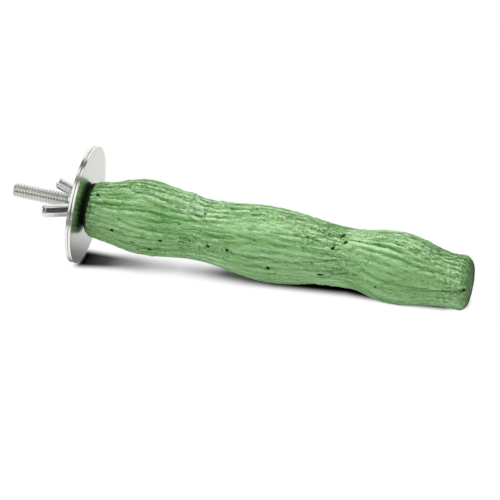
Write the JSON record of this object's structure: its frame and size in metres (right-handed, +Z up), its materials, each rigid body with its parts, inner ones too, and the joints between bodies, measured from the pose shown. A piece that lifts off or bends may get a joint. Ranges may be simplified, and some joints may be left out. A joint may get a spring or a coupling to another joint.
{
  "type": "bird perch",
  "caption": "Wavy moulded mineral perch for a bird cage, with bark-like grooves, held on the cage wires by a threaded stud, large washers and a wing nut.",
  "frame": {"origin": "the clamp plane, where the two washers meet on the stud's axis", "axes": "+X along the perch towards its free end, +Y level across the cage wall, +Z up with the perch mounted"},
  "size_m": [0.201, 0.0508, 0.0508],
  "materials": {
    "mineral": "matte",
    "core_wood": "matte",
    "stud_zinc": "satin",
    "washer_plate": "gloss",
    "nut_zinc": "gloss"
  },
  "bodies": {
    "perch": {"perch_body": "mineral", "core_dowel": "core_wood", "hanger_bolt": "stud_zinc"},
    "front_washer": {"front_washer": "washer_plate"},
    "back_washer": {"back_washer": "washer_plate"},
    "wing_nut": {"wing_nut": "nut_zinc"}
  },
  "joints": [
    {"name": "front_washer_spin", "type": "hinge", "parent": "perch", "child": "front_washer", "pos_m": [0, 0, 0], "axis": [1, 0, 0], "continuous": true},
    {"name": "back_washer_slide", "type": "slide", "parent": "perch", "child": "back_washer", "axis": [-1, 0, 0], "range_m": [0, 0.02254]},
    {"name": "wing_nut_spin", "type": "hinge", "parent": "back_washer", "child": "wing_nut", "pos_m": [0, 0, 0], "axis": [-1, 0, 0], "range_deg": [0, 6390]}
  ],
  "couplings": [
    {"joint": "wing_nut_spin", "follows": "back_washer_slide", "rad_per_m": 4947.4}
  ]
}
